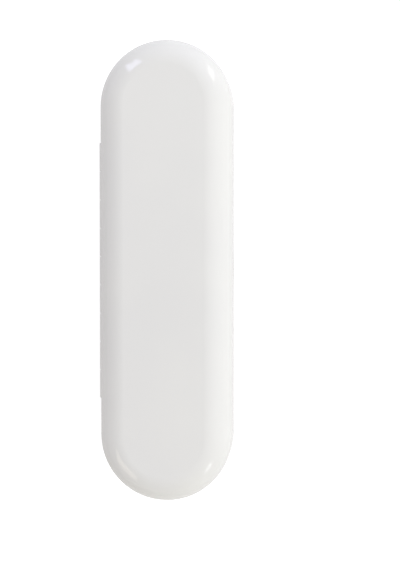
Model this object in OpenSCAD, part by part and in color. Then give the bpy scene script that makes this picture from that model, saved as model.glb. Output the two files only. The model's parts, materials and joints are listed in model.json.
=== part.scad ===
// Travel case for an electric toothbrush: two pill-shaped half shells on a pinned hinge,
// a liner in each for the handle and two brush heads, and a push-button latch at the front.
// Millimetres. +Z is up and Y runs along the case; the hinge is at -X and the latch at +X.
// The origin is the centre of the flat face that the closed case lies on.

/* [Case] */
// Length of the closed case
case_length = 230; // [226:1:250]
// Width of the closed case over its shells, without the hinge barrel
case_width = 66; // [65:0.5:72]
// Height of the closed case
case_height = 42; // [41:0.5:46]
// Radius between a flat face and the side wall
edge_radius = 13.5; // [11:0.5:14]
// Thickness of both shells
shell_wall = 2; // [1.8:0.1:2.2]
// Open seam between the base and the lid
seam_gap = 0.3; // [0.2:0.05:0.4]

/* [Rim lip] */
// Thickness of the lip that stands on the base's rim
lip_thickness = 1; // [0.8:0.05:1.1]
// Height of the lip above the rim
lip_height = 1.6; // [1:0.1:2]
// Play between the lip and the lid
lip_clearance = 0.15; // [0.1:0.05:0.25]
// Distance from the hinge side at which the lip starts
lip_start = 12; // [8:1:16]

/* [Hinge] */
// Length of the row of knuckles
hinge_length = 130; // [110:1:134]
// Number of knuckles, an odd number, so that the base has both end ones
knuckle_count = 9; // [5:2:13]
// Diameter of the knuckles
barrel_diameter = 3.8; // [3.4:0.1:4.2]
// Diameter of the steel pin
pin_diameter = 1.8; // [1.5:0.1:2]
// How far the pin's axis stands outside the shells' side face
hinge_offset = 0.2; // [0.15:0.05:0.4]
// Gap between two knuckles
knuckle_gap = 0.3; // [0.2:0.05:0.5]
// Radial play between a knuckle and the other shell
knuckle_play = 0.3; // [0.2:0.05:0.35]
// Radial play of the pin in its bores
pin_play = 0.05; // [0.03:0.01:0.08]
// Thickness of the rail that backs the knuckle pockets
rail_thickness = 1; // [0.8:0.1:1.1]
// Height of that rail
rail_height = 5; // [4:0.5:6]

/* [Liners] */
// Wall thickness of both liners
liner_wall = 1.2; // [1:0.1:1.4]
// Play between a liner's edge and its shell
liner_clearance = 0.2; // [0.1:0.05:0.3]
// Depth of a liner's face below the rim of its shell
liner_drop = 0.85; // [0.6:0.05:1]
// Land between a recess and the side wall
recess_land = 3; // [2.8:0.1:3.6]
// Diameter of the recess for the handle
handle_diameter = 30.4; // [28:0.4:31]
// Diameter of that recess at the handle's neck
neck_diameter = 18; // [14:0.5:20]
// Length of the neck part of the recess
neck_length = 36; // [28:1:44]
// Length of the taper from the handle to the neck
taper_length = 16; // [12:1:22]
// Diameter of the recesses for the brush heads
head_diameter = 21; // [19:0.5:21.5]
// Land between the latch's housing and each brush head recess
latch_land = 4.4; // [3:0.2:10]
// Diameter of the vent holes under the brush heads
vent_diameter = 2; // [1.5:0.1:2.5]
// Distance between vent holes
vent_pitch = 5; // [4:0.5:6]
// Number of vent holes along each brush head
vent_rows = 7; // [3:1:9]

/* [Grips] */
// Width of each soft band under and over the handle
grip_width = 12; // [8:1:16]
// Thickness of the soft bands
grip_thickness = 1.4; // [1.2:0.1:1.8]
// Depth of the seat that a band lies in
grip_seat = 0.5; // [0.4:0.1:0.6]
// Distance from the middle of the case to each band
grip_spacing = 44; // [34:1:50]
// Diameter of the peg that a brush head is pushed on
peg_diameter = 3.6; // [3:0.1:4]
// Length of that peg
peg_length = 15; // [10:1:20]

/* [Latch] */
// Length of the push button along the case
button_length = 12; // [10:0.5:13]
// Height of the push button
button_height = 5.5; // [5:0.1:6]
// Depth of the button's middle below the seam
button_drop = 6; // [5.9:0.1:6.3]
// Play round the button in its opening
button_clearance = 0.25; // [0.2:0.05:0.35]
// How far the button is pressed in
button_travel = 1.8; // [1.6:0.1:2]
// Width of each hook
hook_width = 4; // [3:0.5:4.5]
// How far each hook reaches over the other
hook_grip = 1.1; // [0.9:0.1:1.2]
// Thickness of the keeper in the lid
keeper_thickness = 1.6; // [1.4:0.1:1.8]
// Length of the latch spring with the button out
spring_length = 6; // [5.5:0.1:6.5]
// Outer diameter of the latch spring
spring_diameter = 4.4; // [4:0.1:4.8]
// Diameter of the spring's wire
wire_diameter = 0.4; // [0.3:0.05:0.5]
// Turns of the latch spring
spring_turns = 5; // [4:1:5]
// Diameter of the screws' shanks
screw_diameter = 1.8; // [1.6:0.1:2]
// Length of the screws' shanks
screw_length = 6; // [5:0.5:7]

/* [Hidden] */
$fn = 96;

white = "white";
pale_grey = "gainsboro";
steel = "silver";

// The shells
half_width = case_width / 2;
straight = case_length - case_width;
seam_z = case_height / 2;
rim_z = seam_z - seam_gap / 2;
inner_radius = half_width - shell_wall;

// How deep a piece of one solid is rooted in the next, and how far a cut runs past a face
root = 0.4;
cut = 1;

// The hinge
hinge_x = -half_width - hinge_offset;
knuckle_pitch = hinge_length / knuckle_count;
barrel_radius = barrel_diameter / 2;
pocket_radius = barrel_radius + knuckle_play;
pin_radius = pin_diameter / 2;
pin_setback = 0.5;
rail_overhang = 2;

// The liners, whose recesses lie along axes at the height of the seam
liner_top = rim_z - liner_drop;
handle_radius = handle_diameter / 2;
neck_radius = neck_diameter / 2;
head_radius = head_diameter / 2;
handle_x = -(inner_radius - recess_land - handle_radius);
head_x = inner_radius - recess_land - head_radius;
tail_round = 8;
neck_round = 4;
head_round = 6;
head_back_round = 3;
end_land = 0.4;
head_end = recess_end(head_x + head_radius, head_round);
tail_end = recess_end(-handle_x + handle_radius, tail_round);
neck_end = recess_end(-handle_x + neck_radius, neck_round);
lug_length = 8;
lug_bite = 0.5;
lug_height = 0.9;
lug_drop = 0.5;
lug_play = 0.2;
lug_bottom = liner_top - liner_wall - lug_drop - lug_height;
front_lugs = [-straight * 0.43, -straight * 0.2, straight * 0.2, straight * 0.43];
rear_lugs = [-straight * 0.46, straight * 0.46];

// The soft bands and the pegs
seat_play = 0.1;
grip_rib = 0.4;
peg_drop = 3;
peg_flange = 0.7;
peg_flange_thickness = 1.2;
spigot_radius = 1.2;

// The button, whose flange stops it behind the front wall
button_z = seam_z - button_drop;
button_sink = 0.1;
flange_rim = 0.9;
flange_thickness = 1.2;
front_gap = 0.5;
flange_x = inner_radius - front_gap;
dish_radius = 30;
dish_depth = 0.5;
stem_radius = 1.5;
stem_play = 0.02;

// The hooks: the slide's point outwards and hold down the keeper's, which point inwards
hook_play = 0.2;
hook_drop = 4.4;
hook_z = seam_z - hook_drop;
hook_height = 1.6;
hook_tip = 0.4;
flange_land = 0.6;
hook_inner = button_length / 2 + flange_rim + flange_land;
hook_outer = hook_inner + hook_width;
keeper_front = inner_radius - front_gap;
keeper_face = keeper_front - keeper_thickness;
keeper_nose = keeper_face - hook_grip - hook_play;

// The slide, a bar with a shoulder at each end that runs under the housing's lips
slide_play = 0.2;
nose_gap = 0.4;
slide_thickness = 2.4;
slide_front = keeper_nose - nose_gap;
slide_back = slide_front - slide_thickness;
slide_spare = 0.5;
slide_half = hook_outer + slide_spare;
slide_drop = 3.6;
slide_bottom = button_z - slide_drop;
slide_top = hook_z + hook_height + hook_play;
shoulder_width = 1.6;
shoulder_height = 2;

// The housing, from the end of the spring inwards
housing_floor = slide_bottom - slide_play;
housing_thickness = 1.6;
housing_inner = slide_half + slide_play;
housing_half = housing_inner + housing_thickness;
housing_back = slide_back - slide_play - spring_length;
housing_foot = 9;
housing_end = housing_back - housing_thickness - housing_foot;
housing_screw_inset = 3.5;
housing_screw_x = housing_end + housing_screw_inset;
housing_screw_y = 9;
nub_play = 0.2;
nub_length = 1.5;
stop_front = slide_back - button_travel - slide_play;
stop_inner = 5;
stop_width = 3;
stop_height = 3;

// The length of a brush head recess is what the housing and the case's end leave it
head_start = housing_half + latch_land + liner_wall;
head_length = head_end - head_start;
head_middle = (head_start + head_end) / 2;

// The keeper, a plate under the lid's top with an apron behind the front wall
keeper_rise = 6.5;
keeper_z = seam_z + keeper_rise;
keeper_length = 17;
keeper_back = keeper_front - keeper_length;
keeper_screw_inset = 5;
keeper_screw_x = keeper_back + keeper_screw_inset;
keeper_screw_y = 7;
apron_gap = 0.3;
apron_bottom = case_height - liner_top + liner_wall + apron_gap;
slot_play = 0.5;

// The screws
boss_radius = 2.6;
screw_radius = screw_diameter / 2;
screw_head_radius = 2;
screw_head_height = 1.4;
screw_play = 0.05;
hole_play = 0.15;
pilot_spare = 0.5;
slot_width = 0.5;
slot_length = 2.4;

// The latch spring, wound from a wire of this many sides
spring_radius = (spring_diameter - wire_diameter) / 2;
spring_steps = 12;
wire_sides = 6;
spring_rings = spring_turns * spring_steps;

// Distance from the middle of the case to the end of a recess whose side stands reach from
// the long axis, so that its rounded end keeps a land to the liner's round edge.
function recess_end(reach, round_end) =
    let (across = reach - round_end,
         room = inner_radius - liner_clearance - end_land - liner_wall - round_end)
    straight / 2 + sqrt(room * room - across * across) + round_end;

// Half of a dish's section: a flat bottom, a rounded edge and a straight side up to depth
module dish_section(radius, depth, edge) {
    intersection() {
        square([radius, depth]);
        union() {
            square([radius - edge, depth]);
            translate([0, edge]) square([radius, depth]);
            translate([radius - edge, edge]) circle(edge);
        }
    }
}

// Carries a half section along both long sides and round both ends of a pill outline
module sweep_outline(length) {
    for (turn = [0, 180])
        rotate([0, 0, turn])
            translate([0, length / 2, 0])
                rotate_extrude(angle = 180) children();
    rotate([90, 0, 0])
        linear_extrude(length, center = true) {
            children();
            mirror([1, 0]) children();
        }
}

// Turns a half section about an axis that runs along +Y from the given point
module turn_along_y(x, y, z) {
    translate([x, y, z]) rotate([-90, 0, 0]) rotate_extrude() children();
}

module cylinder_along_y(radius, length) {
    rotate([90, 0, 0]) cylinder(r = radius, h = length, center = true);
}

// Draws its children for the upper half, turned over about the seam
module turn_over() {
    translate([0, 0, case_height]) mirror([0, 0, 1]) children();
}

// Everything above a height
module space_above(z) {
    translate([-case_width, -case_length, z]) cube([2 * case_width, 2 * case_length, case_height]);
}

// One shell's walls, floor down
module shell_blank() {
    sweep_outline(straight) difference() {
        dish_section(half_width, rim_z, edge_radius);
        translate([0, shell_wall])
            dish_section(inner_radius, case_height, edge_radius - shell_wall);
    }
}

// The ring of the rim lip, or with play the room for it in the lid
module lip_ring(height, play) {
    intersection() {
        sweep_outline(straight)
            translate([inner_radius - play, 0])
                square([lip_thickness + 2 * play, height]);
        translate([-half_width + lip_start - play, -case_length, -case_height])
            cube([case_width, 2 * case_length, 2 * case_height]);
    }
}

function knuckle_y(i) = (i - (knuckle_count - 1) / 2) * knuckle_pitch;

// The barrels of every second knuckle, starting at the given one
module knuckles(first) {
    for (i = [first:2:knuckle_count - 1])
        translate([hinge_x, knuckle_y(i), seam_z])
            cylinder_along_y(barrel_radius, knuckle_pitch - knuckle_gap);
}

// The pockets that leave room for the other shell's knuckles
module knuckle_pockets(first) {
    for (i = [first:2:knuckle_count - 1])
        translate([hinge_x, knuckle_y(i), seam_z])
            cylinder_along_y(pocket_radius, knuckle_pitch + knuckle_gap);
}

// The pin's bore, with a half-round groove beyond one end that the pin is pushed in along
module pin_bore() {
    translate([hinge_x, 0, seam_z]) cylinder_along_y(pin_radius + pin_play, hinge_length + cut);
    translate([hinge_x, hinge_length / 2 + case_length / 4, seam_z])
        cylinder_along_y(pin_radius + knuckle_play, case_length / 2);
}

// The rail inside the side wall that backs the knuckle pockets
module hinge_rail() {
    rotate([90, 0, 0])
        linear_extrude(hinge_length + 2 * rail_overhang, center = true)
            polygon([
                [-inner_radius - root, rim_z - rail_height],
                [-inner_radius, rim_z - rail_height],
                [-inner_radius + rail_thickness, rim_z - rail_height + rail_thickness],
                [-inner_radius + rail_thickness, rim_z],
                [-inner_radius - root, rim_z],
            ]);
}

// Blocks along both long sides of a liner, from its edge's inner side out to a reach
module edge_blocks(reach, length, bottom, top) {
    start = inner_radius - liner_clearance - liner_wall;
    for (y = front_lugs)
        translate([start, y - length / 2, bottom]) cube([reach - start, length, top - bottom]);
    for (y = rear_lugs)
        translate([-reach, y - length / 2, bottom]) cube([reach - start, length, top - bottom]);
}

// The tabs under a liner's edge, each with a lug that snaps into a pocket in the shell
module liner_tabs() {
    edge_blocks(inner_radius - liner_clearance, lug_length, lug_bottom,
                liner_top - liner_wall + root);
    edge_blocks(inner_radius + lug_bite, lug_length, lug_bottom, lug_bottom + lug_height);
}

module lug_pockets() {
    edge_blocks(inner_radius + lug_bite + lug_play, lug_length + 2 * lug_play,
                lug_bottom - lug_play, lug_bottom + lug_height + lug_play);
}

// A boss for a screw, standing on a shell's floor
module boss(x, y, top) {
    translate([x, y, shell_wall - root])
        cylinder(r = boss_radius, h = top - shell_wall + root);
}

// The bore in a boss for the part of the shank below a plate
module pilot_bore(x, y, top, plate) {
    depth = screw_length - plate + pilot_spare;
    translate([x, y, top - depth]) cylinder(r = screw_radius + screw_play, h = depth + cut);
}

// The hole in a plate for a screw's shank
module screw_hole(x, y) {
    translate([x, y, 0]) cylinder(r = screw_radius + hole_play, h = case_height);
}

// The vent holes below one brush head, in rows along Y
module vent_holes(columns, top) {
    for (i = [0:vent_rows - 1], x = columns)
        translate([x, (i - (vent_rows - 1) / 2) * vent_pitch, -cut])
            cylinder(d = vent_diameter, h = top + cut);
}

// A bar with round ends along Y that grows towards +X
module oblong(length, height, depth) {
    rotate([0, 90, 0])
        sweep_outline(length - height)
            square([height / 2, depth]);
}

// ---- Base ----

module base_shell() color(white) {
    boss_top = housing_floor - housing_thickness;
    difference() {
        union() {
            shell_blank();
            translate([0, 0, rim_z - root]) lip_ring(lip_height + root, 0);
            hinge_rail();
            knuckles(0);
            for (y = [-housing_screw_y, housing_screw_y]) boss(housing_screw_x, y, boss_top);
        }
        knuckle_pockets(1);
        pin_bore();
        lug_pockets();
        for (y = [-housing_screw_y, housing_screw_y])
            pilot_bore(housing_screw_x, y, boss_top, housing_thickness);
        for (y = [-head_middle, head_middle])
            translate([0, y, 0]) vent_holes([head_x - vent_pitch, head_x], shell_wall + cut);
        translate([inner_radius - cut, 0, button_z])
            oblong(button_length + 2 * button_clearance, button_height + 2 * button_clearance,
                   shell_wall + 2 * cut);
    }
}

// The form of the handle's recess; grow adds the liner's wall for its outside
module handle_form(grow) {
    body = tail_end + neck_end - taper_length - neck_length;
    turn_along_y(handle_x, -tail_end - grow, seam_z) {
        dish_section(handle_radius + grow, body + grow, tail_round + grow);
        translate([0, body + grow])
            polygon([
                [0, 0], [handle_radius + grow, 0],
                [neck_radius + grow, taper_length], [0, taper_length],
            ]);
        translate([0, body + taper_length + neck_length + 2 * grow])
            mirror([0, 1])
                dish_section(neck_radius + grow, neck_length + grow, neck_round + grow);
    }
}

// The form of one brush head's recess
module head_form(grow) {
    turn_along_y(head_x, head_middle, seam_z) {
        half = head_length / 2 + grow;
        translate([0, half]) mirror([0, 1])
            dish_section(head_radius + grow, half, head_round + grow);
        translate([0, -half])
            dish_section(head_radius + grow, half, head_back_round + grow);
    }
}

module recess_forms(grow) {
    handle_form(grow);
    head_form(grow);
    mirror([0, 1, 0]) head_form(grow);
}

// Both liners: a flat face with the recesses hanging from it
module liner() {
    difference() {
        union() {
            translate([0, 0, liner_top - liner_wall])
                sweep_outline(straight)
                    square([inner_radius - liner_clearance, liner_wall]);
            difference() {
                recess_forms(liner_wall);
                space_above(liner_top - liner_wall / 2);
            }
            liner_tabs();
        }
        recess_forms(0);
        for (y = [-grip_spacing, grip_spacing])
            translate([handle_x, y, seam_z])
                cylinder_along_y(handle_radius + grip_seat, grip_width + 2 * seat_play);
        translate([-half_width, -hinge_length / 2 - rail_overhang - liner_clearance, 0])
            cube([shell_wall + rail_thickness + liner_clearance,
                  hinge_length + 2 * (rail_overhang + liner_clearance), case_height]);
        for (side = [0, 1])
            mirror([0, side, 0])
                translate([keeper_nose - slot_play, hook_inner - slot_play, 0])
                    cube([half_width, hook_width + 2 * slot_play, case_height]);
    }
}

module base_liner() color(pale_grey) {
    difference() {
        liner();
        for (side = [-1, 1]) {
            translate([0, side * head_middle, 0]) vent_holes([head_x], seam_z);
            translate([head_x, side * head_start, seam_z - peg_drop])
                cylinder_along_y(spigot_radius + stem_play, 4 * liner_wall);
        }
    }
}

module hinge_pin() color(steel) {
    translate([hinge_x, 0, seam_z]) cylinder_along_y(pin_radius, hinge_length - 2 * pin_setback);
}

// A soft half band that cradles the handle, with small ribs along it
module grip_band(y) {
    outer = handle_radius + grip_seat - seat_play;
    inner = outer - grip_thickness;
    top = liner_top - liner_wall - seam_z;
    translate([handle_x, y, seam_z]) rotate([90, 0, 0])
        linear_extrude(grip_width, center = true)
            difference() {
                union() {
                    difference() {
                        circle(outer);
                        circle(inner);
                    }
                    for (angle = [-60:20:60])
                        rotate(angle) translate([0, -inner]) circle(grip_rib);
                }
                translate([-outer, top]) square(2 * outer);
            }
}

module handle_grip_front() color(pale_grey) grip_band(grip_spacing);
module handle_grip_rear() color(pale_grey) grip_band(-grip_spacing);

// The peg for a brush head: a spigot through the liner, a flange and a round-nosed peg
module head_peg() {
    peg_radius = peg_diameter / 2;
    turn_along_y(head_x, head_start, seam_z - peg_drop) {
        translate([0, -liner_wall]) square([spigot_radius, liner_wall + peg_flange_thickness]);
        translate([0, stem_play]) square([peg_radius + peg_flange, peg_flange_thickness]);
        translate([0, peg_length]) mirror([0, 1])
            dish_section(peg_radius, peg_length - stem_play, peg_radius / 2);
    }
}

module head_peg_front() color(pale_grey) head_peg();
module head_peg_rear() color(pale_grey) mirror([0, 1, 0]) head_peg();

// ---- Latch ----

// Half of the housing: its floor, back wall, a side rail with an inward lip, and the block
// that stops the slide when the button is pressed in
module housing_half_form() {
    width = slide_front - housing_back;
    lip_z = housing_floor + shoulder_height + 2 * slide_play;
    lip_start_y = slide_half - shoulder_width + slide_play;
    translate([housing_end, 0, housing_floor - housing_thickness])
        cube([slide_front - housing_end, housing_half, housing_thickness]);
    translate([housing_back - housing_thickness, 0, housing_floor - root])
        cube([housing_thickness, housing_half, slide_top - housing_floor + root]);
    translate([housing_back - root, housing_inner, housing_floor - root])
        cube([width + root, housing_thickness, lip_z + housing_thickness - housing_floor + root]);
    translate([housing_back - root, lip_start_y, lip_z])
        cube([width + root, housing_half - lip_start_y, housing_thickness]);
    translate([housing_back - root, stop_inner, housing_floor - root])
        cube([stop_front - housing_back + root, stop_width, stop_height + root]);
}

// The guide that is screwed down on the base, with a nub that holds the spring's end
module latch_housing() color(pale_grey) {
    difference() {
        union() {
            housing_half_form();
            mirror([0, 1, 0]) housing_half_form();
            translate([housing_back - root, 0, button_z]) rotate([0, 90, 0])
                cylinder(r = spring_radius - wire_diameter / 2 - nub_play, h = nub_length + root);
        }
        for (y = [-housing_screw_y, housing_screw_y]) screw_hole(housing_screw_x, y);
    }
}

// A self-tapping screw with a cross in its head, which rests on a plate at the given point
module screw(x, y, z) {
    translate([x, y, z + screw_play]) difference() {
        union() {
            cylinder(r = screw_head_radius, h = screw_head_height);
            translate([0, 0, -screw_length]) cylinder(r = screw_radius, h = screw_length + root);
        }
        for (turn = [0, 90])
            rotate([0, 0, turn]) translate([0, 0, screw_head_height])
                cube([slot_length, slot_width, screw_head_height], center = true);
    }
}

module housing_screws() color(steel) {
    for (y = [-housing_screw_y, housing_screw_y]) screw(housing_screw_x, y, housing_floor);
}

// The centre of the spring's wire at a share of its length
function coil_point(share) =
    let (angle = 360 * spring_turns * share)
    [wire_diameter / 2 + (spring_length - wire_diameter) * share,
     spring_radius * cos(angle), spring_radius * sin(angle)];

// The corners of the wire's outline there
function wire_ring(share) =
    let (angle = 360 * spring_turns * share, along = coil_point(share)[0])
    [for (k = [0:wire_sides - 1])
        let (around = 360 * k / wire_sides,
             reach = spring_radius + wire_diameter / 2 * cos(around))
        [along + wire_diameter / 2 * sin(around), reach * cos(angle), reach * sin(angle)]];

// The spring's least gap to itself
coil_gap = min([
    for (i = [0:spring_rings], j = [i + spring_steps / 2:spring_rings])
        norm(coil_point(i / spring_rings) - coil_point(j / spring_rings))
]) - wire_diameter;
echo(coil_gap = coil_gap);

module latch_spring() color(steel) {
    points = [for (i = [0:spring_rings]) each wire_ring(i / spring_rings)];
    sides = [for (i = [0:spring_rings - 1], k = [0:wire_sides - 1])
        let (a = i * wire_sides + k, b = i * wire_sides + (k + 1) % wire_sides)
        each [[a, b, b + wire_sides], [a, b + wire_sides, a + wire_sides]]];
    first_end = [for (k = [wire_sides - 1:-1:0]) k];
    last_end = [for (k = [0:wire_sides - 1]) spring_rings * wire_sides + k];
    translate([housing_back + slide_play / 2, 0, button_z])
        polyhedron(points, concat(sides, [first_end, last_end]));
}

module latch_button() color(white) {
    face = half_width - button_sink;
    difference() {
        union() {
            translate([flange_x, 0, button_z])
                oblong(button_length, button_height, face - flange_x);
            translate([flange_x - flange_thickness, 0, button_z])
                oblong(button_length + 2 * flange_rim, button_height + 2 * flange_rim,
                       flange_thickness);
            translate([slide_back, 0, button_z]) rotate([0, 90, 0])
                cylinder(r = stem_radius, h = flange_x - slide_back);
        }
        translate([face - dish_depth + dish_radius, 0, button_z]) sphere(dish_radius);
    }
}

// Half of the slide: one end of its bar, with a shoulder and a hook
module slide_half_form() {
    neck = slide_half - shoulder_width;
    hook_bottom = hook_z + hook_play / 2;
    translate([slide_back, 0, slide_bottom]) cube([slide_thickness, slide_half, shoulder_height]);
    translate([slide_back, 0, slide_bottom])
        cube([slide_thickness, neck, slide_top - slide_bottom]);
    translate([0, neck, 0]) rotate([90, 0, 0]) linear_extrude(neck - hook_inner)
        polygon([
            [slide_back, hook_bottom],
            [keeper_face - hook_play, hook_bottom],
            [keeper_face - hook_play, hook_bottom + hook_tip],
            [slide_front, slide_top],
            [slide_back, slide_top],
        ]);
}

// The bar that the button pushes inwards against the spring
module latch_slide() color(pale_grey) {
    difference() {
        union() {
            slide_half_form();
            mirror([0, 1, 0]) slide_half_form();
        }
        translate([slide_back - cut, 0, button_z]) rotate([0, 90, 0])
            cylinder(r = stem_radius + stem_play, h = slide_thickness + 2 * cut);
    }
}

// ---- Lid ----

module lid_shell() color(white) {
    boss_top = case_height - keeper_z - keeper_thickness;
    difference() {
        turn_over() difference() {
            union() {
                shell_blank();
                hinge_rail();
                for (y = [-keeper_screw_y, keeper_screw_y]) boss(keeper_screw_x, y, boss_top);
            }
            translate([0, 0, rim_z - seam_gap - lip_height])
                lip_ring(lip_height + 2 * seam_gap, lip_clearance);
            lug_pockets();
            for (y = [-keeper_screw_y, keeper_screw_y])
                pilot_bore(keeper_screw_x, y, boss_top, keeper_thickness);
        }
        knuckle_pockets(0);
        pin_bore();
    }
    difference() {
        knuckles(1);
        pin_bore();
    }
}

module lid_liner() color(pale_grey) turn_over() liner();

module lid_pad_front() color(pale_grey) turn_over() grip_band(grip_spacing);
module lid_pad_rear() color(pale_grey) turn_over() grip_band(-grip_spacing);

// Half of the keeper: its plate, its apron and the hook that hangs from it
module keeper_half_form() {
    hook_top = hook_z - hook_play / 2;
    translate([keeper_back, 0, keeper_z])
        cube([keeper_length, hook_outer, keeper_thickness]);
    translate([keeper_face, 0, apron_bottom])
        cube([keeper_thickness, hook_outer, keeper_z - apron_bottom + root]);
    translate([0, hook_outer, 0]) rotate([90, 0, 0]) linear_extrude(hook_width)
        polygon([
            [keeper_front, keeper_z],
            [keeper_face, keeper_z],
            [keeper_face, hook_top],
            [keeper_nose, hook_top],
            [keeper_nose, hook_top - hook_tip],
            [keeper_face, hook_top - hook_height],
            [keeper_front, hook_top - hook_height],
        ]);
}

// The plate in the lid whose two hooks the slide holds down
module keeper() color(pale_grey) {
    difference() {
        union() {
            keeper_half_form();
            mirror([0, 1, 0]) keeper_half_form();
        }
        for (y = [-keeper_screw_y, keeper_screw_y]) screw_hole(keeper_screw_x, y);
    }
}

module keeper_screws() color(steel) {
    for (y = [-keeper_screw_y, keeper_screw_y])
        turn_over() screw(keeper_screw_x, y, case_height - keeper_z);
}

base_shell();
base_liner();
hinge_pin();
handle_grip_front();
handle_grip_rear();
head_peg_front();
head_peg_rear();
latch_housing();
housing_screws();
latch_spring();
latch_button();
latch_slide();
lid_shell();
lid_liner();
lid_pad_front();
lid_pad_rear();
keeper();
keeper_screws();
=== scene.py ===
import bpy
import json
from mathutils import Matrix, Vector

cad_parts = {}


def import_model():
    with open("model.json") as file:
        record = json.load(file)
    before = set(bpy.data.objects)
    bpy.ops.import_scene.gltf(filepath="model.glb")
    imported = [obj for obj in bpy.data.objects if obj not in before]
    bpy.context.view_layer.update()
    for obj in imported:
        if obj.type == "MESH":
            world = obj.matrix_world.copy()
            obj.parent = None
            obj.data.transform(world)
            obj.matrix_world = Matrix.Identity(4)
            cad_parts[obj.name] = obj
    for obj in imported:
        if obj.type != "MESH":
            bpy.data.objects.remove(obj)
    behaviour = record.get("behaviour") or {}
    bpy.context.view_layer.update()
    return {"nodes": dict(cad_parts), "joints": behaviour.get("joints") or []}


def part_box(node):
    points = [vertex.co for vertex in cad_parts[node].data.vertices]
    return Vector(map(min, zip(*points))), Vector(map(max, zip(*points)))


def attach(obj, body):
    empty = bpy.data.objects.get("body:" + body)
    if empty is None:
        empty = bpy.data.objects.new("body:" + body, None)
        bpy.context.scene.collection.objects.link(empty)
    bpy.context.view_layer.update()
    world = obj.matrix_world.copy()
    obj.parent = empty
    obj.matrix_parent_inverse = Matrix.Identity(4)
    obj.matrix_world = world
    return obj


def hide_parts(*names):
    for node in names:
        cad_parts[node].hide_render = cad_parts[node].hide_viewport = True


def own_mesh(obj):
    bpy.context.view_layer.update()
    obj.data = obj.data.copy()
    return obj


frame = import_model()

# A travel case for an electric toothbrush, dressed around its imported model: two glossy shells on a
# pinned hinge, a matt tray in each, soft bands and pegs, and a push-button latch.
# Shapes are worked out in millimetres and turned into metres when a mesh is made.
import json
import math

import bmesh
import bpy
import numpy as np
from mathutils import Matrix, Quaternion, Vector
from mathutils.geometry import tessellate_polygon

MM = 0.001


# ---- Sizes ----

def node_box(name):
    """The lowest and the highest corner of a CAD node, in millimetres."""
    low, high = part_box(name)
    return np.array(low) / MM, np.array(high) / MM


LID_LOW, LID_HIGH = node_box("lid_shell")
TRAY_HIGH = node_box("base_liner")[1]
PIN_LOW, PIN_HIGH = node_box("hinge_pin")
GRIP_LOW, GRIP_HIGH = node_box("handle_grip_front")
PEG_LOW, PEG_HIGH = node_box("head_peg_front")
BUTTON_LOW, BUTTON_HIGH = node_box("latch_button")
SPRING_LOW, SPRING_HIGH = node_box("latch_spring")
HINGE_AT = next(joint["pos_m"] for joint in frame["joints"] if joint["name"] == "lid_hinge")

# How far a form that cuts reaches past the faces it goes through
CUT = 1

# The shells: two halves of a pill that meet at the seam
HEIGHT = LID_HIGH[2]
HALF_WIDTH = LID_HIGH[0]
STRAIGHT = LID_HIGH[1] - HALF_WIDTH
SEAM_Z = HINGE_AT[2] / MM
SEAM_GAP = 0.3
RIM_Z = SEAM_Z - SEAM_GAP / 2
WALL = 2.0
INNER = HALF_WIDTH - WALL
EDGE = 13.5
FLAT = HALF_WIDTH - EDGE
FLAT_BORDER = 0.3
SIDE_BORDER = 0.4
RIM_ROUND = 0.25
LIP = 1.0
LIP_HEIGHT = 1.6
LIP_TOP = RIM_Z + LIP_HEIGHT
LIP_END_X = -21.0
LIP_PLAY = 0.15
REBATE = INNER + LIP + LIP_PLAY
REBATE_DEPTH = 1.9
LEDGE_Z = RIM_Z - REBATE_DEPTH
ARC_STEPS = 64
END_STEPS = 96

# The hinge along the side at -X
HINGE_X = -HINGE_AT[0] / MM
BARREL = -LID_LOW[0] - HINGE_X
KNUCKLE_PLAY = 0.3
POCKET = BARREL + KNUCKLE_PLAY
PIN = (PIN_HIGH[2] - PIN_LOW[2]) / 2
PIN_PLAY = 0.05
PIN_BORE = PIN + PIN_PLAY
GROOVE_PLAY = 0.3
GROOVE = PIN + GROOVE_PLAY
PIN_SETBACK = 0.5
HINGE_HALF = PIN_HIGH[1] + PIN_SETBACK
KNUCKLES = 9
PITCH = 2 * HINGE_HALF / KNUCKLES
KNUCKLE_GAP = 0.3
KNUCKLE_ROUND = 0.15
RAIL = 1.0
RAIL_HEIGHT = 5.0
RAIL_OVERHANG = 2
RAIL_HALF = HINGE_HALF + RAIL_OVERHANG
SIDE_STEPS = 32

# The trays, whose recesses lie along axes at the height of the seam
TRAY_TOP = TRAY_HIGH[2]
TRAY_EDGE = TRAY_HIGH[1] - STRAIGHT
TRAY_WALL = 1.2
TRAY_ROUND = 0.3
RECESS_ROUND = 0.8
PLAIN_BORDER = 0.15
HANDLE_X = (GRIP_LOW[0] + GRIP_HIGH[0]) / 2
HANDLE = 15.2
NECK = 9.0
HANDLE_START = -97.03
NECK_END = 103.84
NECK_LENGTH = 36.0
TAPER_LENGTH = 16.0
TAPER_END = NECK_END - NECK_LENGTH
TAPER_START = TAPER_END - TAPER_LENGTH
HANDLE_CURVE = 8.0
NECK_CURVE = 4.0
HEAD_X = (PEG_LOW[0] + PEG_HIGH[0]) / 2
HEAD = 10.5
HEAD_START = PEG_LOW[1] + TRAY_WALL
HEAD_END = 95.37
HEAD_BACK_CURVE = 3.0
HEAD_CURVE = 6.0
SEAT_DEPTH = 0.5
SEAT_PLAY = 0.1
SEAT_HALF = (GRIP_HIGH[1] - GRIP_LOW[1]) / 2 + SEAT_PLAY
GRIP_Y = (GRIP_HIGH[1] + GRIP_LOW[1]) / 2
NOTCH_X = 27.1
NOTCH_START = 7.0
NOTCH_END = 12.0
NOTCH_ROUND = 0.6
HINGE_NOTCH_X = -29.8
HINGE_NOTCH = RAIL_HALF + 0.2
LUG_LENGTH = 8.0
LUG_BITE = 0.5
LUG_DROP = 0.5
LUG_HEIGHT = 0.9
LUG_BOTTOM = TRAY_TOP - TRAY_WALL - LUG_DROP - LUG_HEIGHT
LUG_PLAY = 0.2
FRONT_LUGS = (-70.52, -32.8, 32.8, 70.52)
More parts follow.
